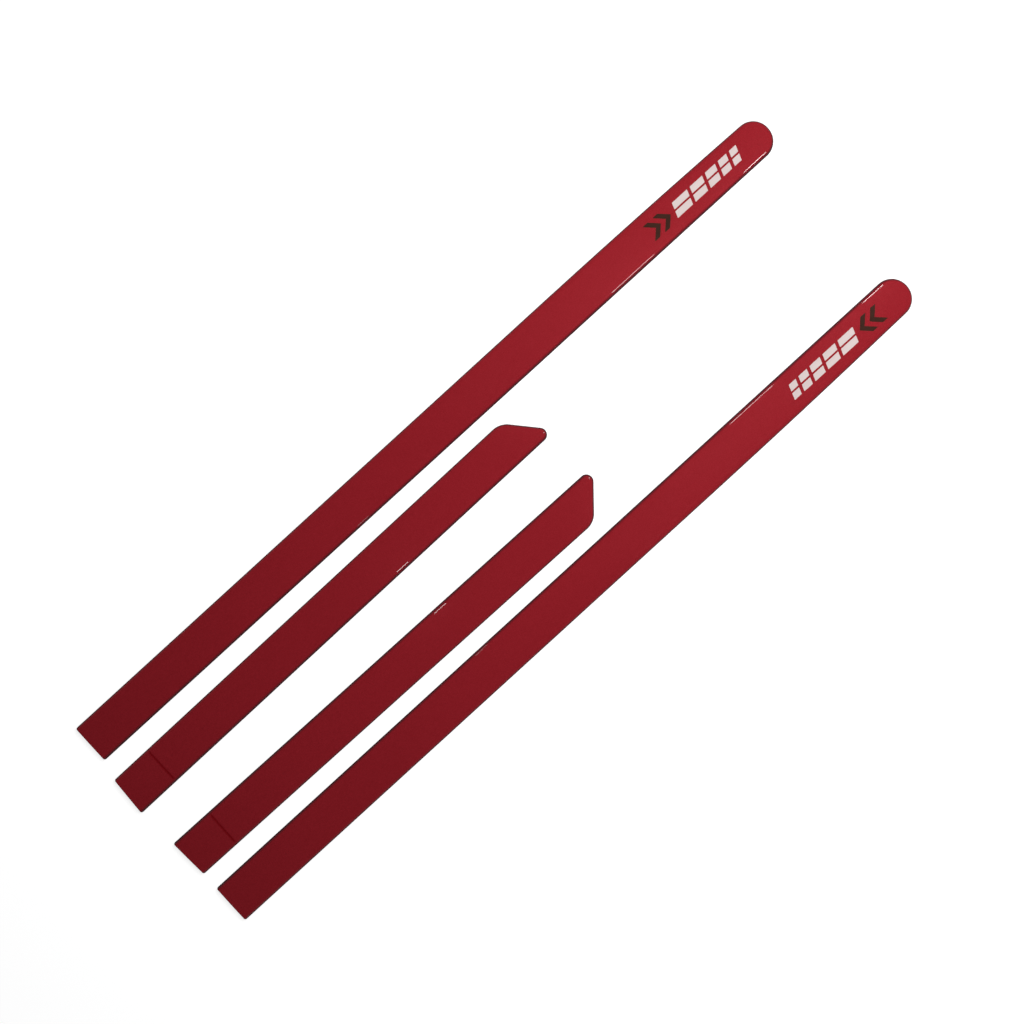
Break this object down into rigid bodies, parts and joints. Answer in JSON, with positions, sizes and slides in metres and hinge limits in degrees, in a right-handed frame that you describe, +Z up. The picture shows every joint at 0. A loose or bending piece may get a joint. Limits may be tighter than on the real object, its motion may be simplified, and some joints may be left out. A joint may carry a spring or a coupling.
{
  "type": "car door side moulding set",
  "caption": "Set of stick-on car door side mouldings in glossy red: front-door strips with a round nose and graphic, rear-door strips with a slanted end, on taped and lined backs.",
  "frame": {"origin": "centre of the layout's footprint, on the surface that the strips lie on", "axes": "+X along the strips from their square ends to their noses, +Y towards the right-hand front strip, +Z up through the painted faces"},
  "size_m": [0.9687, 0.268, 0.0071],
  "materials": {
    "red_paint": "deep candy red paint under clear coat on moulded plastic, bare black plastic behind",
    "dark_vinyl": "thin dark brown cut vinyl, satin",
    "light_vinyl": "thin off-white cut vinyl, satin",
    "foam_tape": "dark grey closed-cell acrylic foam, matt",
    "liner_film": "thin red release film, glossy, faintly see-through",
    "bare_plastic": "unpainted black moulded plastic"
  },
  "bodies": {
    "front_right": {"front_right_cover": "red_paint", "front_right_decal_dark": "dark_vinyl", "front_right_decal_light": "light_vinyl", "front_right_tape_outer": "foam_tape", "front_right_tape_inner": "foam_tape", "front_right_tape_nose": "foam_tape"},
    "front_right_liner_outer": {"front_right_liner_outer": "liner_film"},
    "front_right_liner_inner": {"front_right_liner_inner": "liner_film"},
    "front_right_liner_nose": {"front_right_liner_nose": "liner_film"},
    "front_left": {"front_left_cover": "red_paint", "front_left_decal_dark": "dark_vinyl", "front_left_decal_light": "light_vinyl", "front_left_tape_outer": "foam_tape", "front_left_tape_inner": "foam_tape", "front_left_tape_nose": "foam_tape"},
    "front_left_liner_outer": {"front_left_liner_outer": "liner_film"},
    "front_left_liner_inner": {"front_left_liner_inner": "liner_film"},
    "front_left_liner_nose": {"front_left_liner_nose": "liner_film"},
    "rear_right": {"rear_right_main_section": "red_paint", "rear_right_end_section": "red_paint", "rear_right_splice_plate": "bare_plastic", "rear_right_tape_outer": "foam_tape", "rear_right_tape_inner": "foam_tape"},
    "rear_right_liner_outer": {"rear_right_liner_outer": "liner_film"},
    "rear_right_liner_inner": {"rear_right_liner_inner": "liner_film"},
    "rear_left": {"rear_left_main_section": "red_paint", "rear_left_end_section": "red_paint", "rear_left_splice_plate": "bare_plastic", "rear_left_tape_outer": "foam_tape", "rear_left_tape_inner": "foam_tape"},
    "rear_left_liner_outer": {"rear_left_liner_outer": "liner_film"},
    "rear_left_liner_inner": {"rear_left_liner_inner": "liner_film"}
  },
  "joints": [
    {"name": "front_right_liner_outer_peel", "type": "slide", "parent": "front_right", "child": "front_right_liner_outer", "axis": [-1, 0, 0], "range_m": [0, 0.935]},
    {"name": "front_right_liner_inner_peel", "type": "slide", "parent": "front_right", "child": "front_right_liner_inner", "axis": [-1, 0, 0], "range_m": [0, 0.935]},
    {"name": "front_right_liner_nose_peel", "type": "slide", "parent": "front_right", "child": "front_right_liner_nose", "axis": [1, 0, 0], "range_m": [0, 0.03]},
    {"name": "front_left_lift", "type": "slide", "parent": "front_right", "child": "front_left", "axis": [0, 0, 1], "range_m": [0, 0.15]},
    {"name": "front_left_liner_outer_peel", "type": "slide", "parent": "front_left", "child": "front_left_liner_outer", "axis": [-1, 0, 0], "range_m": [0, 0.935]},
    {"name": "front_left_liner_inner_peel", "type": "slide", "parent": "front_left", "child": "front_left_liner_inner", "axis": [-1, 0, 0], "range_m": [0, 0.935]},
    {"name": "front_left_liner_nose_peel", "type": "slide", "parent": "front_left", "child": "front_left_liner_nose", "axis": [1, 0, 0], "range_m": [0, 0.03]},
    {"name": "rear_right_lift", "type": "slide", "parent": "front_right", "child": "rear_right", "axis": [0, 0, 1], "range_m": [0, 0.15]},
    {"name": "rear_right_liner_outer_peel", "type": "slide", "parent": "rear_right", "child": "rear_right_liner_outer", "axis": [-1, -0.007, 0], "range_m": [0, 0.555]},
    {"name": "rear_right_liner_inner_peel", "type": "slide", "parent": "rear_right", "child": "rear_right_liner_inner", "axis": [-1, -0.007, 0], "range_m": [0, 0.575]},
    {"name": "rear_left_lift", "type": "slide", "parent": "front_right", "child": "rear_left", "axis": [0, 0, 1], "range_m": [0, 0.15]},
    {"name": "rear_left_liner_outer_peel", "type": "slide", "parent": "rear_left", "child": "rear_left_liner_outer", "axis": [-1, 0.007, 0], "range_m": [0, 0.555]},
    {"name": "rear_left_liner_inner_peel", "type": "slide", "parent": "rear_left", "child": "rear_left_liner_inner", "axis": [-1, 0.007, 0], "range_m": [0, 0.575]}
  ]
}
